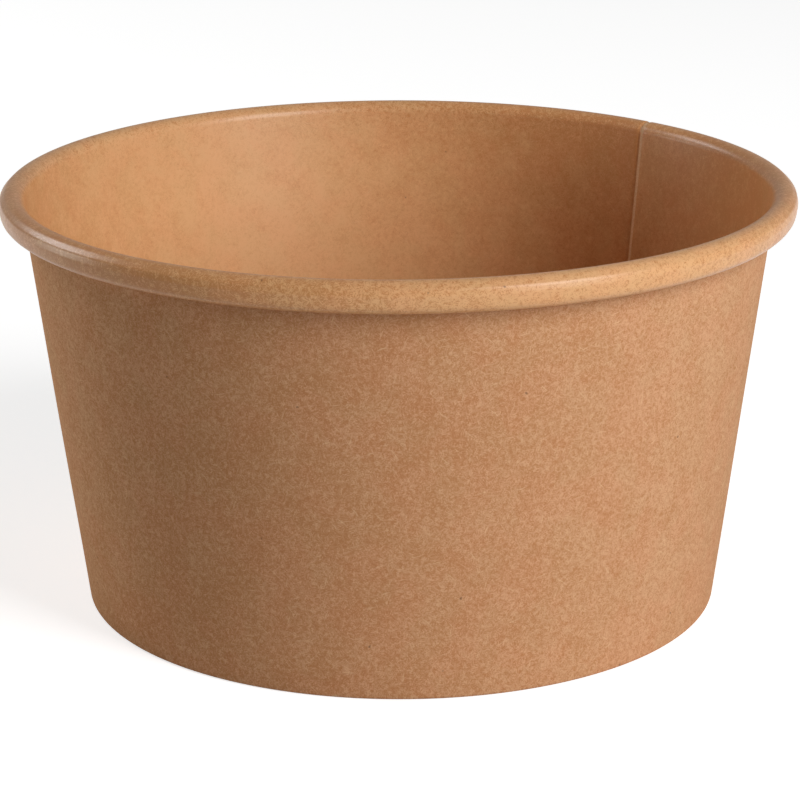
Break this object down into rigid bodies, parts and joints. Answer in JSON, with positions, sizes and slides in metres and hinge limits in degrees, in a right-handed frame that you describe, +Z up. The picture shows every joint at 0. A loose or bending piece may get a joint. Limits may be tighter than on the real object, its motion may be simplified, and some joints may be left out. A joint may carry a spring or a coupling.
{
  "type": "paper ice cream tub",
  "caption": "Round open tub of brown kraft board with a rolled rim, a lapped side seam and a recessed floor, for ice cream and other single servings.",
  "frame": {"origin": "centre of the foot, on the surface the tub stands on", "axes": "+Z up along the tub's axis; the side seam's inner edge lies 45 degrees from +X towards +Y"},
  "size_m": [0.096, 0.096, 0.0515],
  "materials": {
    "wall_board": "matte brown kraft outside, thin satin coating inside and on the rolled rim",
    "floor_board": "brown kraft with a thin satin coating on top"
  },
  "bodies": {
    "root": {"sidewall": "wall_board", "bottom_disc": "floor_board"}
  },
  "joints": []
}
